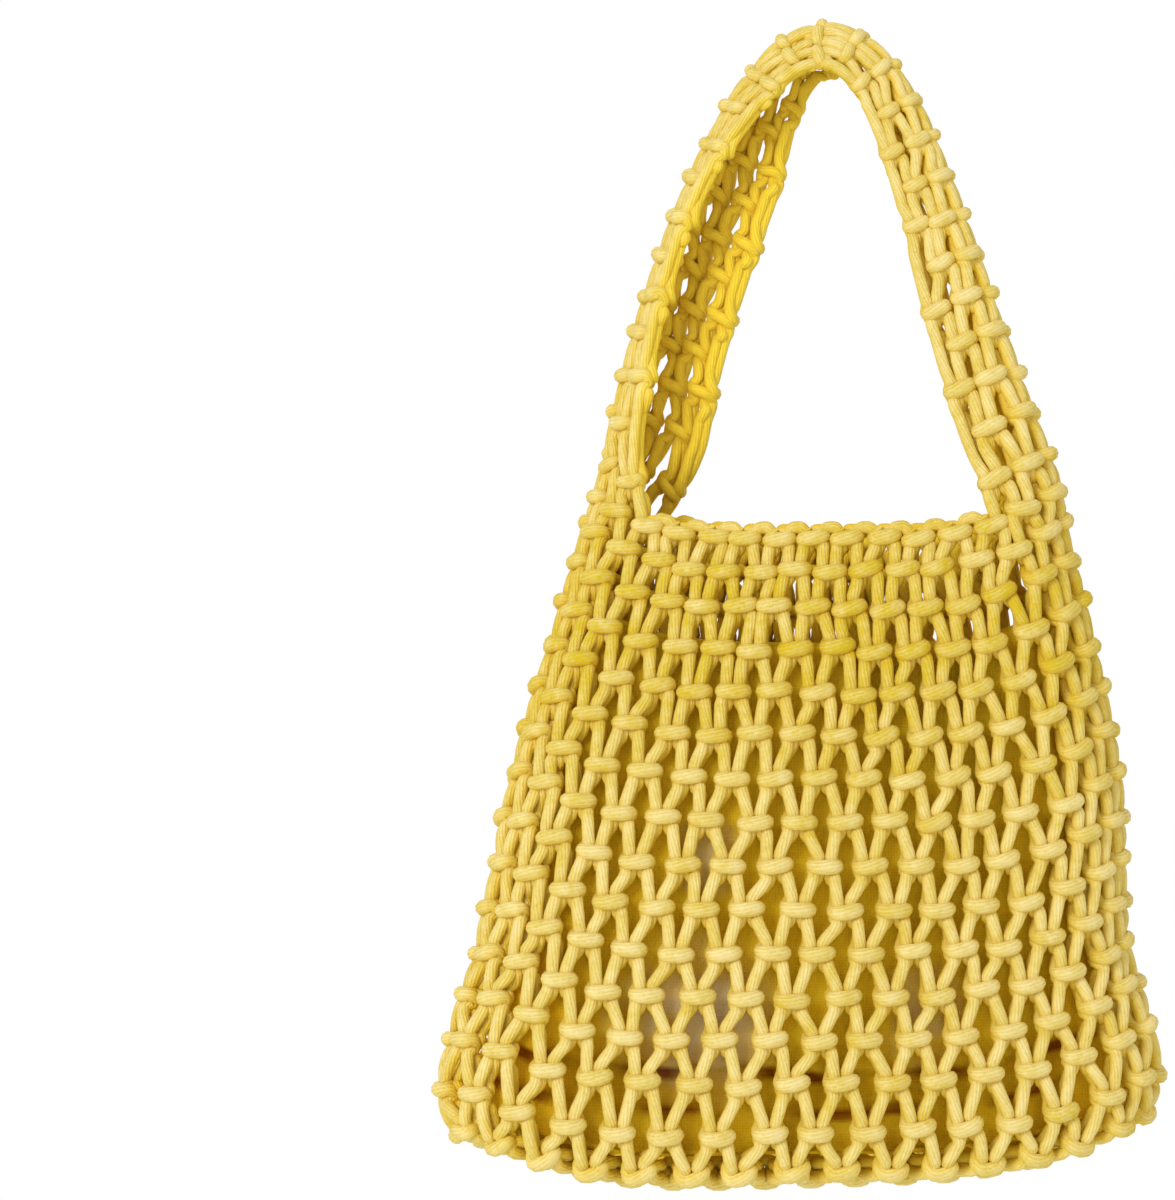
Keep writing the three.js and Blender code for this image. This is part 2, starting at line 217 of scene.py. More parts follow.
def strap_surface(column, row):
    """The middle of the strap's net: a section bent round its fold, two arms leaving an arc, rolled about
    the channel's middle and carried along a power-curve arch."""
    column, row = np.broadcast_arrays(column, row)
    length = np.clip(row / STRAP_ROWS, 0, 1) * arch_length[-1]
    fold_x = np.interp(length, arch_length, arch_x)
    fold_z = np.interp(length, arch_length, arch_z)
    in_x = np.interp(length, arch_length, np.gradient(arch_z, arch_length))
    in_z = -np.interp(length, arch_length, np.gradient(arch_x, arch_length))
    radius = curve_through(STATIONS, "fold", row)
    reach = (column - LEFT_END) * curve_through(STATIONS, "pitch", row)
    opening = np.pi / 2 - np.radians(curve_through(STATIONS, "splay", row))
    angle = np.minimum(np.abs(reach) / radius, opening)
    arm = np.abs(reach) - radius * angle
    deep = radius * (1 - np.cos(angle)) + arm * np.sin(angle) - CHANNEL_MIDDLE
    front = np.sign(reach) * (radius * np.sin(angle) + arm * np.cos(angle))
    roll = np.radians(curve_through(STATIONS, "roll", row))
    inward = CHANNEL_MIDDLE + deep * np.cos(roll) - front * np.sin(roll)
    forward = deep * np.sin(roll) + front * np.cos(roll)
    near = np.clip(np.minimum(row, STRAP_ROWS - row) / FOOT_ROWS, 0, 1)
    settle = 1 - near * near * (3 - 2 * near)
    in_z = in_z * (1 - settle)
    size = np.hypot(in_x, in_z)
    x = fold_x + inward * in_x / size
    z = fold_z + inward * in_z / size + (side_rise(column) - SIDE_RISE) * settle
    turn = math.radians(ROUNDS["twist"][1])
    return np.stack(
        [x * math.cos(turn) + forward * math.sin(turn), x * math.sin(turn) - forward * math.cos(turn), z], -1
    )


def joined(row, strap, body):
    """The body below the rim row, the strap from two rows above it, and a smooth blend between them."""
    share = np.clip(-row / 2, 0, 1)[..., None]
    return body + (strap - body) * share * share * (3 - 2 * share)


def left_surface(column, row):
    """The left side's net: the body below the rim row, the strap's left branch above it."""
    column, row = np.broadcast_arrays(column, row)
    return joined(row, strap_surface(column, -row), body_surface(column, row))


def right_surface(column, row):
    """The right side's net: the body below the rim row, the strap's right branch above it."""
    column, row = np.broadcast_arrays(column, row)
    above = strap_surface(RIGHT_MIRROR - column, STRAP_ROWS + row)
    return joined(row, above, body_surface(column, row))


SLOPE_STEP = 0.02


def slopes(surface, column, row):
    """How a surface moves for one column and for one row, by central differences, and its outward normal."""
    step = SLOPE_STEP
    across = (surface(column + step, row) - surface(column - step, row)) / (2 * step)
    along = (surface(column, row + step) - surface(column, row - step)) / (2 * step)
    normal = np.cross(along, across)
    return across, along, normal / np.linalg.norm(normal, axis=-1, keepdims=True)


# The way of each cord through one knot, in cord diameters from the knot's middle, seen from outside:
# across to the right, up, out, and the cord's radius there. One cord wraps the cores from the left and
# makes the bar in front, one from the right behind them, and they leave on the other side.
WRAP_LEFT, WRAP_RIGHT, CORE_LEFT, CORE_RIGHT = range(4)
LEFT_WRAP_WAY = [
    (-0.62, 0.92, -0.74, 0.46),
    (-0.95, 0.22, -0.14, 0.51),
    (-0.61, 0.00, 0.63, 0.60),
    (0.57, 0.02, 0.65, 0.60),
    (0.97, 0.10, 0.08, 0.53),
    (0.80, -0.42, -0.30, 0.47),
    (0.79, -1.02, 0.26, 0.51),
]
RIGHT_WRAP_WAY = [
    (0.60, 0.92, -0.74, 0.46),
    (0.84, 0.30, -0.66, 0.46),
    (0.44, 0.02, -0.96, 0.47),
    (-0.46, -0.04, -0.94, 0.47),
    (-0.92, -0.24, -0.34, 0.46),
    (-0.82, -0.56, 0.14, 0.50),
    (-0.94, -1.06, 0.30, 0.51),
]
LEFT_CORE_WAY = [
    (-0.53, 0.96, 0.28, 0.50),
    (-0.46, 0.56, 0.12, 0.48),
    (-0.44, 0.20, -0.08, 0.44),
    (-0.40, -0.20, -0.10, 0.43),
    (-0.37, -0.58, -0.13, 0.43),
    (-0.54, -0.98, -0.40, 0.45),
    (-0.92, -1.36, -0.74, 0.46),
]
RIGHT_CORE_WAY = [(-x, y, out, radius) for x, y, out, radius in LEFT_CORE_WAY]
KNOT_WAYS = np.array([LEFT_WRAP_WAY, RIGHT_WRAP_WAY, LEFT_CORE_WAY, RIGHT_CORE_WAY])
WAY_POINTS = KNOT_WAYS.shape[1]
LINK_RADIUS = 0.50
# Which part a cord takes in the next row, and how many columns on. Past a free edge it has no knot: it
# runs beside the edge, in front or behind, and comes back to the same column.
NEXT_PART = np.array(
    [CORE_LEFT, CORE_RIGHT, WRAP_RIGHT, WRAP_LEFT, CORE_RIGHT, CORE_LEFT, WRAP_LEFT, WRAP_RIGHT]
)
NEXT_STEP = np.array([0.5, -0.5, -0.5, 0.5, 0, 0, 0, 0])
# A cord beside an edge: the side of its column, how far from it, how far out, a leg in front and a core
# behind, its reach up and down in rows, and how thick it is.
EDGE_SIDE = np.array([1, -1, -1, 1])
EDGE_ASIDE = np.array([0.25, 0.25, 0.14, 0.14])
EDGE_OUT = np.array([0.28, 0.28, -0.76, -0.76])
EDGE_REACH = 0.40
EDGE_SLIM = 0.88
# Knots in columns or rows closer than these are drawn narrower or shorter.
FULL_WIDTH_PITCH = 2.9 * CORD
FULL_HEIGHT_PITCH = 3.2 * CORD
BASE_LAST_ROW = 16
SEAM_ROW = 16.95
# Above the rim, in full after these rows, the strap's pull brings its cords together, front to back: less
# within a knot's reach than in the loose stretches between knots.
PULLED_ROWS = 2
KNOT_REACH = 0.8
KNOT_FLAT = 0.3
LOOSE_FLAT = 0.8
# Each knot has its own tilt and shift, kept by row from the lowest row number and by half column.
BAR_TILT = math.radians(5)
TILT_SPREAD = math.radians(3.5)
PLACE_SPREAD = 0.11
LOWEST_ROW = -20
KNOT_ROWS = 60
random_numbers = np.random.default_rng(11)
knot_tilt = BAR_TILT + TILT_SPREAD * random_numbers.standard_normal((KNOT_ROWS, 2 * COLUMNS))
knot_shift = PLACE_SPREAD * random_numbers.standard_normal((KNOT_ROWS, 2 * COLUMNS, 2))


def knot_place(surface, way, column, row):
    """A cord's way through the knots at those columns of a row, as column, row, height and radius: the way
    is tilted and shifted a little for each knot, narrowed where the columns are close, and its steps
    across and up are turned into shares of a column and of a row."""
    across, along, _ = slopes(surface, column, np.full_like(column, row))
    long = np.linalg.norm(along, axis=-1)
    up = -along / long[:, None]
    lean = (across * up).sum(-1)
    wide = np.linalg.norm(across - lean[:, None] * up, axis=-1)
    cell = (row - LOWEST_ROW, np.round(2 * column).astype(int) % (2 * COLUMNS))
    narrow = np.minimum(1, wide / FULL_WIDTH_PITCH)[:, None]
    short = np.minimum(1, long / FULL_HEIGHT_PITCH)[:, None]
    tilt, shift = knot_tilt[cell][:, None], knot_shift[cell]
    x, y = way[:, 0] * narrow, way[:, 1] * short
    turned_x = x * np.cos(tilt) - y * np.sin(tilt) + shift[:, :1]
    turned_y = x * np.sin(tilt) + y * np.cos(tilt) + shift[:, 1:]
    step_column = CORD * turned_x / wide[:, None]
    step_row = (step_column * lean[:, None] - CORD * turned_y) / long[:, None]
    out, radius = way[:, 2] * narrow, way[:, 3] * np.sqrt(narrow)
    return np.stack([column[:, None] + step_column, row + step_row, out, radius], -1)


def cord_routes(surface, column, part, top, edges=None, slim=1, flat=1):
    """The points that cords follow from their columns and parts in the top row to the base's last row and
    on to its seam: the way through each knot, or beside the edge where there is none. edges are the first
    and the last column of a band that has no knots beyond them above the rim; slim is how thick its cords
    are and flat how close together, front to back, they run, most of it between its knots."""
    share = np.linspace(-EDGE_REACH, EDGE_REACH, WAY_POINTS)
    rows = []
    for row in range(top, BASE_LAST_ROW + 1):
        points = np.empty((len(column), WAY_POINTS, 4))
        for kind in range(4):
            tied, passing = part == kind, part == kind + 4
            points[tied] = knot_place(surface, KNOT_WAYS[kind], column[tied], row)
            points[passing, :, 0] = column[passing, None] + EDGE_SIDE[kind] * EDGE_ASIDE[kind]
            points[passing, :, 1] = row + share
            points[passing, :, 2:] = EDGE_OUT[kind] * EDGE_SLIM, LINK_RADIUS * EDGE_SLIM
        pulled = np.clip(-points[..., 1] / PULLED_ROWS, 0, 1)
        loose = (np.abs(KNOT_WAYS[part % 4, :, 1]) > KNOT_REACH) | (part > 3)[:, None]
        points[..., 2] *= 1 - (1 - flat) * pulled * np.where(loose, LOOSE_FLAT, KNOT_FLAT)
        points[..., 3] *= 1 - (1 - slim) * pulled
        rows.append(points)
        onward = column + NEXT_STEP[part]
        past = np.zeros(len(column), bool)
        if edges is not None and row + 1 < 0:
            past = (onward < edges[0]) | (onward > edges[1])
        part = np.where(past, part + 4, NEXT_PART[part])
        column = np.where(past, column, onward)
    seam = rows[-1][:, -1:].copy()
    seam[..., 1:] = SEAM_ROW, 0, LINK_RADIUS
    return np.concatenate(rows + [seam], 1)


# How finely cords are drawn: steps between two points of a route, places kept for each row, sides round.
STEPS_BETWEEN = 6
PLACES_PER_ROW = 15
CORD_SIDES = 10


def smooth_route(points):
    """A route made smooth: a Catmull-Rom cubic between each pair of points, taken at equal steps."""
    before, after = 2 * points[:, :1] - points[:, 1:2], 2 * points[:, -1:] - points[:, -2:-1]
    padded = np.concatenate([before, points, after], 1)
    p0, p1, p2, p3 = (padded[:, k : padded.shape[1] - 3 + k, None] for k in range(4))
    t = (np.arange(STEPS_BETWEEN) / STEPS_BETWEEN)[None, None, :, None]
    curve = 0.5 * (
        2 * p1 + (p2 - p0) * t + (2 * p0 - 5 * p1 + 4 * p2 - p3) * t**2 + (3 * p1 - p0 - 3 * p2 + p3) * t**3
    )
    curve = curve.reshape(len(points), -1, points.shape[-1])
    return np.concatenate([curve, points[:, -1:]], 1)


def on_surface(surface, points):
    """Cords along smoothed routes: each place is a point of the surface moved out along its normal by the
    height. Gives for each place, in one row, its position, the cord's direction, the surface's normal, the
    radius and the height."""
    route = smooth_route(points)
    column, row = route[..., 0], route[..., 1]
    _, _, normal = slopes(surface, column, row)
    position = surface(column, row) + normal * (CORD * route[..., 2])[..., None]
    direction = np.gradient(position, axis=1)
    direction /= np.linalg.norm(direction, axis=-1, keepdims=True)
    return np.concatenate([position, direction, normal, CORD * route[..., 3:], CORD * route[..., 2:3]], -1)


def thinned(cords, places):
    """The same cords with fewer places: spread evenly over a measure that adds each stretch's length in cord
    diameters to twice its turning, so that bends keep most of them."""
    position, direction = cords[..., :3], cords[..., 3:6]
    length = np.linalg.norm(np.diff(position, axis=1), axis=-1)
    turning = np.arccos(np.clip((direction[:, 1:] * direction[:, :-1]).sum(-1), -1, 1))
    measure = np.pad(np.cumsum(length / CORD + 2 * turning, 1), ((0, 0), (1, 0)))
    out = np.empty((len(cords), places, cords.shape[-1]))
    for cord, (at, values) in enumerate(zip(measure, cords)):
        wanted = np.linspace(0, at[-1], places)
        out[cord] = np.stack([np.interp(wanted, at, value) for value in values.T], -1)
    return out


# Painted light and shade on a cord: how much paler it is painted everywhere, by its height, where it faces
# out and where it faces up; less of it leaves the deep amber of painted shade.
PAINTED_LIGHT_LEVEL = 0.30
PAINTED_LIGHT_HEIGHT = 0.32
PAINTED_LIGHT_FACING = 0.44
PAINTED_LIGHT_UP = 0.14
# A direction that no cord starts along, to set off its first ring.
RING_ASIDE = (0.31, 0.77, 0.55)


def swept_cords(cords):
    """Round cords: a ring of points at each place, square to the cord's direction, each ring's start
    carried on from the one before. Gives the corners, the length along each cord, and how much painted light
    each corner takes: more with the cord's height over the net's middle and where the corner faces out and
    up."""
    places = cords.shape[1]
    path, tangent, normal = cords[..., :3], cords[..., 3:6], cords[..., 6:9]
    radius, height = cords[..., 9], cords[..., 10]
    tangent = tangent / np.linalg.norm(tangent, axis=-1, keepdims=True)
    start = np.empty_like(path)
    side = np.cross(tangent[:, 0], RING_ASIDE)
    for k in range(places):
        side = side - (side * tangent[:, k]).sum(-1, keepdims=True) * tangent[:, k]
        side /= np.linalg.norm(side, axis=-1, keepdims=True)
        start[:, k] = side
    other = np.cross(tangent, start)
    turn = 2 * np.pi * np.arange(CORD_SIDES) / CORD_SIDES
    ring = np.cos(turn)[:, None] * start[..., None, :] + np.sin(turn)[:, None] * other[..., None, :]
    corners = path[..., None, :] + radius[..., None, None] * ring
    length = np.pad(np.cumsum(np.linalg.norm(np.diff(path, axis=1), axis=-1), 1), ((0, 0), (1, 0)))
    facing = (ring * normal[..., None, :]).sum(-1)
    # Painted light: more where the corner faces out and where it faces up.
    turned = PAINTED_LIGHT_FACING * facing + PAINTED_LIGHT_UP * ring[..., 2]
    painted_light = PAINTED_LIGHT_LEVEL + PAINTED_LIGHT_HEIGHT * height[..., None] / CORD + turned
    return corners, length, np.clip(painted_light, 0, 1)


# Painted shade: cords are painted darker in a band under the rim, by this much tone, about this height, this
# far from it.
RIM_SHADE = 1.2
RIM_SHADE_Z = RIM_Z - 0.03
RIM_SHADE_REACH = 0.045


def cord_mesh(name, bundles, material):
    """One mesh of many cords, with closed ends, a map of share round and metres along, the painted light of
    each
    corner and its tone: one for each cord, less painted shade in a bell curve of the height about a level
    under the rim."""
    corner_list, quad_list, cap_list, round_list, along_list = [], [], [], [], []
    tone_list, painted_light_list = [], []
    first = 0
    for bundle in bundles:
        corners, length, painted_light = swept_cords(bundle)
        count, places, sides = corners.shape[:3]
        index = first + np.arange(count * places * sides).reshape(count, places, sides)
        around = np.roll(index, -1, axis=2)
        quads = np.stack([index[:, :-1], around[:, :-1], around[:, 1:], index[:, 1:]], -1)
        share = np.arange(sides) / sides
        round_map = np.stack([share, share + 1 / sides, share + 1 / sides, share], -1)
        along_map = np.stack([length[:, :-1], length[:, :-1], length[:, 1:], length[:, 1:]], -1)
        ends = np.concatenate([corners[:, 0, ::-1], corners[:, -1]])
        caps = first + count * places * sides + np.arange(2 * count * sides).reshape(-1, sides)
        corner_list += [corners.reshape(-1, 3), ends.reshape(-1, 3)]
        quad_list.append(quads.reshape(-1, 4))
        round_list.append(np.broadcast_to(round_map[None, None], quads.shape).reshape(-1, 4))
        along_list.append(np.broadcast_to(along_map[:, :, None], quads.shape).reshape(-1, 4))
        cap_list.append(caps)
        tone = random_numbers.uniform(0, 1, count)
        tone_list += [np.repeat(tone, places * sides), np.repeat(np.tile(tone, 2), sides)]
        painted_light_list += [painted_light.ravel(), painted_light[:, 0, ::-1].ravel(), painted_light[:, -1].ravel()]
        first += count * (places + 2) * sides
    corners = np.concatenate(corner_list)
    quads = np.concatenate(quad_list)
    caps = np.concatenate(cap_list)
    sides = caps.shape[1]
    mesh = bpy.data.meshes.new(name)
    mesh.vertices.add(len(corners))
    mesh.vertices.foreach_set("co", corners.ravel())
    loops = np.concatenate([quads.ravel(), caps.ravel()])
    mesh.loops.add(len(loops))
    mesh.loops.foreach_set("vertex_index", loops)
    mesh.polygons.add(len(quads) + len(caps))
    starts = np.concatenate([4 * np.arange(len(quads)), 4 * len(quads) + sides * np.arange(len(caps))])
    mesh.polygons.foreach_set("loop_start", starts)
    mesh.update(calc_edges=True)
    mesh.polygons.foreach_set("use_smooth", np.ones(len(starts), bool))
    flat_map = mesh.uv_layers.new(name="cord_map")
    u = np.concatenate([np.concatenate(round_list).ravel(), np.full(caps.size, 0.5)])
    v = np.concatenate([np.concatenate(along_list).ravel(), np.zeros(caps.size)])
    flat_map.data.foreach_set("uv", np.stack([u, v], -1).ravel())
    # Painted shade: a darker band under the rim, taken off each cord's own random tone.
    rim_shade = np.exp(-(((corners[:, 2] - RIM_SHADE_Z) / RIM_SHADE_REACH) ** 2))
    tone = np.concatenate(tone_list) - RIM_SHADE * rim_shade
    for attribute, values in (("cord_tone_and_rim_shade", tone), ("cord_painted_light", np.concatenate(painted_light_list))):
        layer = mesh.attributes.new(attribute, "FLOAT", "POINT")
        layer.data.foreach_set("value", values)
    mesh.validate()
    piece = bpy.data.objects.new(name, mesh)
    bpy.context.scene.collection.objects.link(piece)
    mesh.materials.append(material)
    return piece


def add_node(tree, kind, **values):
    """A shader node of that kind, with its plain properties and its named inputs set."""
    node = tree.nodes.new(kind)
    for name, value in values.items():
        if name in node.inputs:
            node.inputs[name].default_value = value
        else:
            setattr(node, name, value)
    return node


def linked(tree, output, kind, socket=0, **values):
    """A new node of that kind with one input fed by an output."""
    node = add_node(tree, kind, **values)
    tree.links.new(output, node.inputs[socket])
    return node


def feed(tree, socket, value):
    """Gives a socket its value: another node's output, linked to it, or a plain number or colour."""
    if isinstance(value, bpy.types.NodeSocket):
        tree.links.new(value, socket)
    else:
        socket.default_value = value


def worked_out(tree, operation, *terms):
    """The result of a Math node over its terms, each a number or another node's output."""
    node = add_node(tree, "ShaderNodeMath", operation=operation)
    for socket, term in zip(node.inputs, terms):
        feed(tree, socket, term)
    return node.outputs[0]


def share_between(tree, value, start, end, easing="LINEAR"):
    """How far a value is on the way from the start to the end, kept between 0 and 1."""
    node = linked(tree, value, "ShaderNodeMapRange", "Value", interpolation_type=easing)
    node.inputs["From Min"].default_value = start
    node.inputs["From Max"].default_value = end
    return node.outputs[0]


def graded_colour(tree, value, span, colours):
    """The colour that goes from a dark one to a light one as the value crosses the span."""
    node = linked(tree, value, "ShaderNodeValToRGB")
    for element, position, colour in zip(node.color_ramp.elements, span, colours):
        element.position = position
        element.color = colour
    return node.outputs["Color"]


# A colour Mix node's inputs and output go by number, because its sockets share their names.
MIX_FIRST, MIX_SECOND, MIX_RESULT = 6, 7, 2


def mixed_colour(tree, share, first, second, blend="MIX"):
    """The first colour where the share is 0, and where it is 1 the second one or, multiplied, both."""
    node = add_node(tree, "ShaderNodeMix", data_type="RGBA", blend_type=blend)
    feed(tree, node.inputs["Factor"], share)
    feed(tree, node.inputs[MIX_FIRST], first)
    feed(tree, node.inputs[MIX_SECOND], second)
    return node.outputs[MIX_RESULT]


# The cord's colours from dark to light: deep amber painted as shade on its inner side and undersides, and
# pale yellow painted as light where it faces out and up.
SHADED_SIDE_COLOURS = (0.88, 0.59, 0.034, 1), (0.97, 0.72, 0.052, 1)
LIT_SIDE_COLOURS = (0.67, 0.485, 0.018, 1), (0.89, 0.732, 0.315, 1)
CORD_TONE_SPAN = (0.55, 1.0)
# How many fibres and ridges there are round a cord and along a metre of it.
FIBRES_ROUND, FIBRES_ALONG = 26, 900
RIDGES_ROUND, RIDGES_ALONG = 11, 170
RIDGE_HEIGHT = 0.11
# How much of a place's tone comes from its cord and from the height of its fibres and ridges: the fibres'
# part is their grain, the ridges' part is painted shade, darker in the grooves between them.
TONE_SHARE = 0.15
GRAIN_AND_GROOVE_SHADE = 0.55


def cotton_cord_finish():
    """Soft cotton cord: pale yellow painted as light where it faces out and up, deep amber painted as shade
    on its inner side and undersides, a little varied from cord to cord and along each one, with ridges that
    run round it slowly and short fibres raised on it, painted darker between the ridges as shade in the
    grooves, matte with a soft sheen."""
    material = bpy.data.materials.new("cotton_cord")
    material.use_nodes = True
    tree = material.node_tree
    shader = tree.nodes["Principled BSDF"]
    shader.inputs["Roughness"].default_value = 0.6
    shader.inputs["Specular IOR Level"].default_value = 0.08
    shader.inputs["Sheen Weight"].default_value = 0.25
    shader.inputs["Sheen Roughness"].default_value = 0.5
    shader.inputs["Sheen Tint"].default_value = (1.0, 0.72, 0.12, 1)
    cord_map = add_node(tree, "ShaderNodeUVMap", uv_map="cord_map").outputs["UV"]
    stretch = linked(tree, cord_map, "ShaderNodeMapping", "Vector", Scale=(FIBRES_ROUND, FIBRES_ALONG, 1))
    fibre_noise = linked(
        tree, stretch.outputs[0], "ShaderNodeTexNoise", "Vector", Scale=1.0, Detail=4.0, Roughness=0.7
    )
    fibres = fibre_noise.outputs["Fac"]
    split = linked(tree, cord_map, "ShaderNodeSeparateXYZ")
    along = worked_out(tree, "MULTIPLY", split.outputs["Y"], RIDGES_ALONG)
    around = worked_out(tree, "MULTIPLY_ADD", split.outputs["X"], RIDGES_ROUND, along)
    turns = worked_out(tree, "ADD", fibres, around)
    ridges = worked_out(tree, "SINE", worked_out(tree, "MULTIPLY", turns, 2 * math.pi))
    height = worked_out(tree, "MULTIPLY_ADD", ridges, RIDGE_HEIGHT, fibres)
    bump = linked(tree, height, "ShaderNodeBump", "Height", Strength=0.9, Distance=0.0005)
    tree.links.new(bump.outputs[0], shader.inputs["Normal"])
    place = add_node(tree, "ShaderNodeTexCoord").outputs["Object"]
    patches = linked(tree, place, "ShaderNodeTexNoise", "Vector", Scale=140.0, Detail=6.0, Roughness=0.75)
    # Each cord's own tone, less the painted shade under the rim.
    tone = add_node(tree, "ShaderNodeAttribute", attribute_name="cord_tone_and_rim_shade").outputs["Fac"]
    blend = worked_out(tree, "MULTIPLY_ADD", tone, TONE_SHARE, patches.outputs["Fac"])
    # Painted shade in the grooves between the ridges, together with the fibres' grain and each cord's tone.
    tone_and_groove_shade = worked_out(tree, "MULTIPLY_ADD", height, GRAIN_AND_GROOVE_SHADE, blend)
    inner = graded_colour(tree, tone_and_groove_shade, CORD_TONE_SPAN, SHADED_SIDE_COLOURS)
    outer = graded_colour(tree, tone_and_groove_shade, CORD_TONE_SPAN, LIT_SIDE_COLOURS)
    # Painted light and shade: the lit colour where the corner faces out and up, the shaded amber elsewhere.
    painted_light_value = add_node(tree, "ShaderNodeAttribute", attribute_name="cord_painted_light").outputs["Fac"]
    lit_share = share_between(tree, painted_light_value, 0, 1, "SMOOTHSTEP")
    tree.links.new(mixed_colour(tree, lit_share, inner, outer), shader.inputs["Base Color"])
    return material


cord_finish = cotton_cord_finish()
LEFT_FIRST, FRONT_FIRST, RIGHT_FIRST, BACK_FIRST = 0, 6, 15, 21
STRAP_TOP = -16
STRAP_KNOTS = np.arange(1, 5)
STRAP_EDGES = np.array([0.5, 4.5])
# How thick each branch's cords are under the pull, and how close together they run, front to back.
STRAP_PULL = {"left": (0.98, 0.5), "right": (1.06, 0.8)}


def knot_starts(columns):
    """The starting columns and parts of the four cords of each knot."""
    return np.repeat(np.asarray(columns, float), 4), np.tile(np.arange(4), len(columns))


def strap_starts():
    """The same for the strap, counted from a side's first column: four knots, and at each edge the two
    cords that pass beside it."""
    column, part = knot_starts(STRAP_KNOTS)
    beside = 4 + np.array([WRAP_RIGHT, CORE_LEFT, WRAP_LEFT, CORE_RIGHT])
    return np.append(column, np.repeat(STRAP_EDGES, 2)), np.append(part, beside)


# The two outer cords of the first and the last knot of a side start at the rim, beside the strap's foot.
CORNER_STARTS = np.array([0.0, 0.0, 5.0, 5.0]), np.array([WRAP_LEFT, CORE_LEFT, WRAP_RIGHT, CORE_RIGHT])
side_cords = {}
FACE_COLUMNS = {"front": np.arange(FRONT_FIRST, RIGHT_FIRST), "back": np.arange(BACK_FIRST, COLUMNS)}
for side, columns in FACE_COLUMNS.items():
    side_cords[side] = [(0, on_surface(body_surface, cord_routes(body_surface, *knot_starts(columns), 0)))]
for side, surface, first in (("left", left_surface, LEFT_FIRST), ("right", right_surface, RIGHT_FIRST)):
    column, part = strap_starts()
    edges = first + STRAP_EDGES
    strap_route = cord_routes(surface, first + column, part, STRAP_TOP, edges, *STRAP_PULL[side])
    column, part = CORNER_STARTS
    corner_route = cord_routes(surface, first + column, part, 0)
    side_cords[side] = [
        (STRAP_TOP, on_surface(surface, strap_route)),
        (0, on_surface(surface, corner_route)),
    ]


def cords_between(side, first, last):
    """A side's cords from the start of the first row to the start of the row after the last one, without
    those that start below the first row."""
    bundles = []
    for top, cords in side_cords[side]:
        if top <= first:
            begin, end = round((first - top) * WAY_POINTS), (last + 1 - top) * WAY_POINTS
            stretch = cords[:, begin * STEPS_BETWEEN : end * STEPS_BETWEEN + 1]
            bundles.append(thinned(stretch, round((last + 1 - first) * PLACES_PER_ROW)))
    return bundles


WALL_SIDES = {"front_net": "front", "back_net": "back", "left_side_net": "left", "right_side_net": "right"}
for name, side in WALL_SIDES.items():
    net = cord_mesh(name + "_cords", cords_between(side, 0, WALL_ROWS - 1), cord_finish)
    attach(net, "root")
    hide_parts(name)

# Base net
# The same cords carried on under the bag in two more rows of knots, those of the front and those of the back
# meeting along a seam in the middle.
base_cords = [cords for side in side_cords for cords in cords_between(side, WALL_ROWS, BASE_LAST_ROW)]
base = cord_mesh("base_net_cords", base_cords, cord_finish)
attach(base, "root")
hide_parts("base_net")

# Rims
# The top edge of each face between the strap's feet: the cords of each knot in the first row turn over into
# the next knot, two deep, so that the edge is a row of small loops.
LOOP_PEAK = {"core": 0.95, "wrap": 0.80}
LOOP_OUT = {"core": 0.05, "wrap": -0.62}
LOOP_WAYS = {"core": (CORE_RIGHT, CORE_LEFT, slice(2, 4)), "wrap": (WRAP_RIGHT, WRAP_LEFT, slice(0, 1))}
LOOP_PLACES = 20
# Three points take a loop over: their shares of the way to the next knot and of the loop's height.
LOOP_ACROSS = np.array([0.34, 0.5, 0.66])
LOOP_UP = np.array([0.9, 1.0, 0.9])
RIM_COLUMNS = {"front_rim": (FRONT_FIRST - 1, RIGHT_FIRST), "back_rim": (BACK_FIRST - 1, COLUMNS)}


def rim_loops(columns):
    """The loops of a rim: each leaves a knot upwards on its right, turns over half-way and comes down into
    the next knot on its left, as core to core and behind that as wrapping cord to wrapping cord."""
    columns = np.asarray(columns, float)
    row_height = np.linalg.norm(slopes(body_surface, columns, np.zeros_like(columns))[1], axis=-1)
    bundles = []
    for kind, (right, left, points) in LOOP_WAYS.items():
        up = knot_place(body_surface, KNOT_WAYS[right, points], columns[:-1], 0)[:, ::-1]
        down = knot_place(body_surface, KNOT_WAYS[left, points], columns[1:], 0)
        over = np.empty((len(up), len(LOOP_ACROSS), 4))
        over[..., 0] = columns[:-1, None] + LOOP_ACROSS
        over[..., 1] = -LOOP_PEAK[kind] * CORD / row_height.mean() * LOOP_UP
        over[..., 2] = LOOP_OUT[kind]
        over[..., 3] = LINK_RADIUS
        route = np.concatenate([up, over, down], 1)
        bundles.append(thinned(on_surface(body_surface, route), LOOP_PLACES))
    return bundles


for name, (first, last) in RIM_COLUMNS.items():
    rim = cord_mesh(name + "_loops", rim_loops(np.arange(first, last + 1)), cord_finish)
    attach(rim, "root")
    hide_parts(name)

# Strap
# The side columns of the net carried on up as one band and folded lengthwise, the fold outside; the two
# branches meet at the top of the loop, where the band is bunched together.
LEFT_TOP_ROW = -13.4
RIGHT_TOP_ROW = -12.6
strap_cords = cords_between("left", LEFT_TOP_ROW, -1) + cords_between("right", RIGHT_TOP_ROW, -1)
strap = cord_mesh("strap_cords", strap_cords, cord_finish)
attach(strap, "root")
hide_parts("strap")

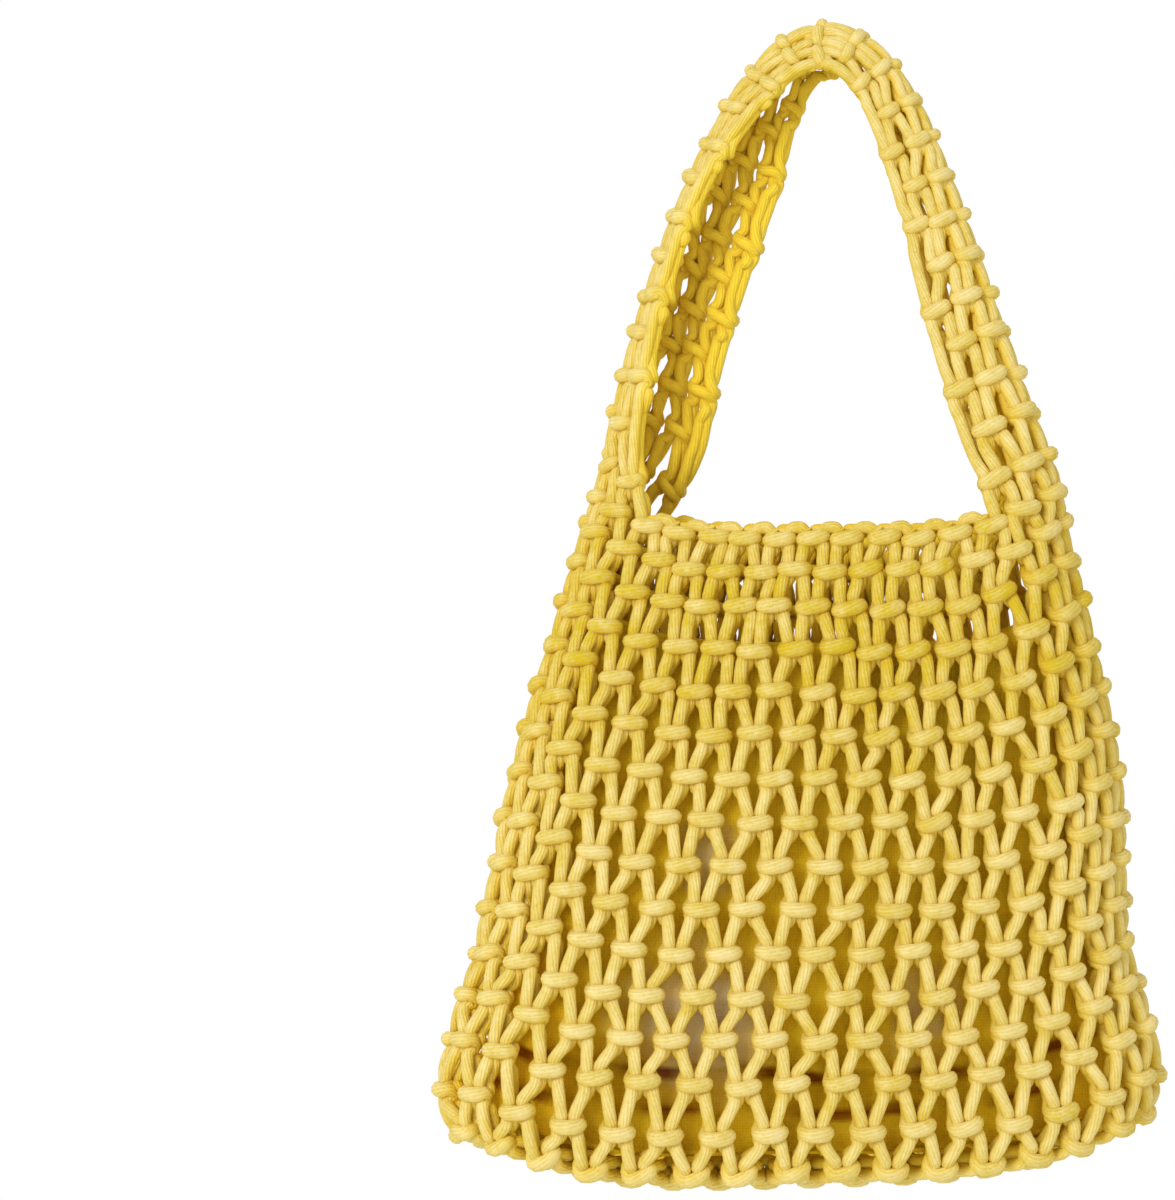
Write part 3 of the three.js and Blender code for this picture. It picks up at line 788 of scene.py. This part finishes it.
# Lining
# A pouch of plain-woven amber cloth sewn inside the body under its first rows, with a floor of its own
# above the base and a tuck under a seam near its bottom. It shows through the holes of the net.
LINING_TOP_ROW = 2.8
LINING_BOTTOM_ROW = 15.2
LINING_SEAM_ROW = 12.7
LINING_DEPTH = -0.0074
TUCK_DEPTH = 0.005
TUCK_ROWS = 0.9
LINING_THICKNESS = 0.0008
LINING_ROUND = 180
LINING_WALL = 90
LINING_FLOOR = 16
CRUMPLE = 0.0006

share_round = np.arange(LINING_ROUND) / LINING_ROUND
lining_column = LEFT_END + COLUMNS * share_round[None, :]
lining_row = np.linspace(LINING_TOP_ROW, LINING_BOTTOM_ROW, LINING_WALL)[:, None]
wall_normal = slopes(body_surface, *np.broadcast_arrays(lining_column, lining_row))[2]
# Its crumples and the waver of its seam are sines whose lengths don't fit together.
short_waves = np.sin(0.9 * lining_column + 1.7 * lining_row)
long_waves = np.sin(0.37 * lining_column - 0.8 * lining_row)
crumple = CRUMPLE * short_waves * long_waves
seam_wave = 0.10 * np.sin(0.7 * lining_column) + 0.06 * np.sin(1.9 * lining_column + 1)
under_seam = (lining_row - LINING_SEAM_ROW - seam_wave) / TUCK_ROWS
tuck = TUCK_DEPTH * np.clip(1 - under_seam, 0, 1) * (under_seam > 0)
lining_out = LINING_DEPTH + crumple - tuck
lining_wall = body_surface(lining_column, lining_row) + wall_normal * lining_out[..., None]

# The floor is drawn in from the wall's lower edge, its ends too by a share of its half depth, and closed
# along its middle.
FLOOR_REACH = 0.985
FLOOR_END_SHARE = 0.5
edge = lining_wall[-1]
inward = np.linspace(0, 1, LINING_FLOOR + 1)[1:, None] * FLOOR_REACH
lining_middle = curve_through(ROUNDS, "sway", np.array(LINING_BOTTOM_ROW))
end_drawn = FLOOR_END_SHARE * np.abs(edge[:, 1]).max() * inward
from_middle = edge[None, :, 0] - lining_middle
lining_floor = np.stack(
    [
        lining_middle + np.sign(from_middle) * np.maximum(np.abs(from_middle) - end_drawn, 0),
        edge[None, :, 1] * (1 - inward),
        np.broadcast_to(edge[:, 2], (LINING_FLOOR, LINING_ROUND)),
    ],
    -1,
)
lining_points = np.concatenate([lining_wall, lining_floor])
rings = len(lining_points)
index = np.arange(rings * LINING_ROUND).reshape(rings, LINING_ROUND)
around = np.roll(index, -1, axis=1)
quads = np.stack([index[:-1], index[1:], around[1:], around[:-1]], -1).reshape(-1, 4)
half = LINING_ROUND // 2
left_index, right_index = index[-1, 1:half], index[-1, :half:-1]
seam = np.stack([left_index[:-1], right_index[:-1], right_index[1:], left_index[1:]], -1)
ends = [
    [index[-1, 0], index[-1, -1], index[-1, 1]],
    [index[-1, half - 1], index[-1, half + 1], index[-1, half]],
]

# Painted shadows: broken dark lines along the tuck's two edges, and brown fold shadows on the cloth below
# it.
UPPER_LINE, LOWER_LINE = 0.10, 0.98
LINE_REACH = 0.14
FOLD_SHADOW_TOP_ROW = 13.2
FOLD_SHADOW_ROWS = 1.2
FOLD_SHADE = 0.6
upper_line = np.clip(1.6 - np.abs(under_seam - UPPER_LINE) / LINE_REACH, 0, 1)
lower_line = np.clip(1.5 - np.abs(under_seam - LOWER_LINE) / LINE_REACH, 0, 1)
upper_share = np.clip(0.6 + 0.8 * np.sin(2.1 * lining_column + 0.6 * np.sin(lining_column)), 0, 1)
lower_turn = 1.7 * lining_column + 2 + 0.8 * np.sin(0.9 * lining_column)
lower_share = np.clip(0.5 + 0.9 * np.sin(lower_turn), 0, 1)
fold_shadow_depth = np.clip((lining_row - FOLD_SHADOW_TOP_ROW) / FOLD_SHADOW_ROWS, 0, 1)
fold_shadow_turn = 2.6 * lining_column + 1.5 * np.sin(0.8 * lining_column) + lining_row
fold_shadow_share = np.clip(0.9 * np.sin(fold_shadow_turn) - 0.1, 0, 1)
seam_shadow_lines = upper_line * upper_share + lower_line * lower_share
seam_shade = np.maximum(seam_shadow_lines, FOLD_SHADE * fold_shadow_depth * fold_shadow_share)
lining_mesh = bpy.data.meshes.new("lining_cloth")
lining_mesh.from_pydata(lining_points.reshape(-1, 3), [], quads.tolist() + seam.tolist() + ends)
lining_mesh.polygons.foreach_set("use_smooth", np.ones(len(lining_mesh.polygons), bool))
shade_layer = lining_mesh.attributes.new("seam_shade", "FLOAT", "POINT")
shade_layer.data.foreach_set("value", np.append(seam_shade.ravel(), np.zeros(lining_floor.size // 3)))
lining = bpy.data.objects.new("lining_cloth", lining_mesh)
bpy.context.scene.collection.objects.link(lining)
thicken = lining.modifiers.new("cloth_thickness", "SOLIDIFY")
thicken.thickness = LINING_THICKNESS
thicken.offset = -1

# Painted light: paler, greyer patches where light comes through the cloth. Each patch's middle and half
# sizes, between which shares of those it fades in, and between which values of a noise, so that it is
# ragged.
LIT_PATCHES = [
    ((-0.048, -0.028, -0.315), (0.024, 0.02, 0.024)),
    ((0.028, -0.028, -0.314), (0.012, 0.02, 0.016)),
    ((-0.042, -0.025, -0.262), (0.010, 0.02, 0.012)),
]
PATCH_SPAN = (1.3, 0.5)
RAGGED_SPAN = (0.3, 0.6)
# Painted shade: how far from the pouch's middle its ends begin to be painted darker, where they lie deeper
# in, and where they are darkest.
END_SHADE_SPAN = (0.055, 0.10)
CLOTH_TONE_SPAN = (0.35, 0.95)
AMBER_COLOURS = (0.88, 0.55, 0.008, 1), (0.98, 0.73, 0.030, 1)
# The colour of the painted light in the lit patches.
LIT_PATCH_COLOUR = (0.84, 0.70, 0.40, 1)
# The painted shade colour at the pouch's ends.
END_SHADE_COLOUR = (0.95, 0.86, 0.66, 1)
# The colour of the painted shadows along the tuck and below it.
SEAM_SHADOW_COLOUR = (0.36, 0.15, 0.10, 1)
THREAD_SCALE = 330
THREAD_SHARE = 0.4


def woven_lining_finish():
    """Plain-woven amber cloth: crossing threads raised a little, slubs that lighten and darken it, painted
    light in greyer patches where light comes through, painted shade on its darker ends, painted shadows in
    dark lines along the tuck and brown fold shadows below it. Matte."""
    material = bpy.data.materials.new("lining_cloth")
    material.use_nodes = True
    tree = material.node_tree
    shader = tree.nodes["Principled BSDF"]
    shader.inputs["Roughness"].default_value = 0.95
    shader.inputs["Specular IOR Level"].default_value = 0.08
    place = add_node(tree, "ShaderNodeTexCoord").outputs["Object"]
    threads = []
    for direction in ("X", "Z"):
        thread = linked(tree, place, "ShaderNodeTexWave", "Vector", Scale=THREAD_SCALE, Distortion=1.5)
        thread.inputs["Detail"].default_value = 1.0
        thread.bands_direction = direction
        threads.append(thread.outputs["Fac"])
    weave = worked_out(tree, "MAXIMUM", *threads)
    slubs = linked(tree, place, "ShaderNodeTexNoise", "Vector", Scale=160.0, Detail=4.0)
    tone = worked_out(tree, "MULTIPLY_ADD", weave, THREAD_SHARE, slubs.outputs["Fac"])
    amber = graded_colour(tree, tone, CLOTH_TONE_SPAN, AMBER_COLOURS)
    # Painted light: the patches where light comes through the cloth.
    lit_patch = 0
    for centre, size in LIT_PATCHES:
        offset = linked(tree, place, "ShaderNodeVectorMath", operation="SUBTRACT")
        offset.inputs[1].default_value = centre
        share = linked(tree, offset.outputs[0], "ShaderNodeVectorMath", operation="DIVIDE")
        share.inputs[1].default_value = size
        far = linked(tree, share.outputs[0], "ShaderNodeVectorMath", operation="LENGTH")
        lit_patch = worked_out(tree, "MAXIMUM", lit_patch, share_between(tree, far.outputs["Value"], *PATCH_SPAN))
    ragged = linked(tree, place, "ShaderNodeTexNoise", "Vector", Scale=60.0, Detail=2.0)
    where = worked_out(tree, "MULTIPLY", lit_patch, share_between(tree, ragged.outputs["Fac"], *RAGGED_SPAN))
    cloth = mixed_colour(tree, where, amber, LIT_PATCH_COLOUR)
    # Painted shade towards the pouch's ends.
    place_x = linked(tree, place, "ShaderNodeSeparateXYZ").outputs["X"]
    apart = worked_out(tree, "ABSOLUTE", worked_out(tree, "SUBTRACT", place_x, float(lining_middle)))
    end_shade_share = share_between(tree, apart, *END_SHADE_SPAN, "SMOOTHSTEP")
    cloth = mixed_colour(tree, end_shade_share, cloth, END_SHADE_COLOUR, "MULTIPLY")
    # Painted shadows along the tuck and below it.
    seam_shadow = add_node(tree, "ShaderNodeAttribute", attribute_name="seam_shade").outputs["Fac"]
    cloth = mixed_colour(tree, seam_shadow, cloth, SEAM_SHADOW_COLOUR, "MULTIPLY")
    tree.links.new(cloth, shader.inputs["Base Color"])
    bump = linked(tree, weave, "ShaderNodeBump", "Height", Strength=0.4, Distance=0.0003)
    tree.links.new(bump.outputs[0], shader.inputs["Normal"])
    return material


lining_mesh.materials.append(woven_lining_finish())
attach(lining, "root")
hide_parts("lining")

# Floor and light
# A plain pale floor well below the hanging bag, a bright even room that is white behind it, and one broad
# soft lamp at the left front.
FLOOR_Z = -0.62
FLOOR_RADIUS = 1.2
FLOOR_SIDES = 96
floor_turn = 2 * np.pi * np.arange(FLOOR_SIDES) / FLOOR_SIDES
floor_points = np.stack(
    [FLOOR_RADIUS * np.cos(floor_turn), FLOOR_RADIUS * np.sin(floor_turn), np.full(FLOOR_SIDES, FLOOR_Z)], -1
)
floor_mesh = bpy.data.meshes.new("floor")
floor_mesh.from_pydata(floor_points.tolist(), [], [range(FLOOR_SIDES)])
floor = bpy.data.objects.new("floor", floor_mesh)
bpy.context.scene.collection.objects.link(floor)
floor_finish = bpy.data.materials.new("pale_floor")
floor_finish.use_nodes = True
floor_shader = floor_finish.node_tree.nodes["Principled BSDF"]
floor_shader.inputs["Base Color"].default_value = (0.93, 0.93, 0.93, 1)
floor_shader.inputs["Roughness"].default_value = 0.9
floor_mesh.materials.append(floor_finish)

ROOM_LIGHT = 0.82
LAMP_SIZE = 1.0
LAMP_WATTS = 23.8
LAMP_PLACE = (-1.3, -1.8, 0.6)
LAMP_TURN = (math.radians(70), 0, math.radians(-36))
room = bpy.data.worlds.new("bright_room")
room.use_nodes = True
room_tree = room.node_tree
background = room_tree.nodes["Background"]
background.inputs["Color"].default_value = (1, 1, 1, 1)
seen = add_node(room_tree, "ShaderNodeLightPath").outputs["Is Camera Ray"]
strength = linked(room_tree, seen, "ShaderNodeMapRange", "Value")
strength.inputs["To Min"].default_value = ROOM_LIGHT
strength.inputs["To Max"].default_value = 1.0
room_tree.links.new(strength.outputs[0], background.inputs["Strength"])
bpy.context.scene.world = room
lamp_data = bpy.data.lights.new("soft_lamp", "AREA")
lamp_data.shape = "DISK"
lamp_data.size = LAMP_SIZE
lamp_data.energy = LAMP_WATTS
lamp = bpy.data.objects.new("soft_lamp", lamp_data)
lamp.location = LAMP_PLACE
lamp.rotation_euler = LAMP_TURN
bpy.context.scene.collection.objects.link(lamp)
bpy.context.scene.view_settings.view_transform = "Standard"
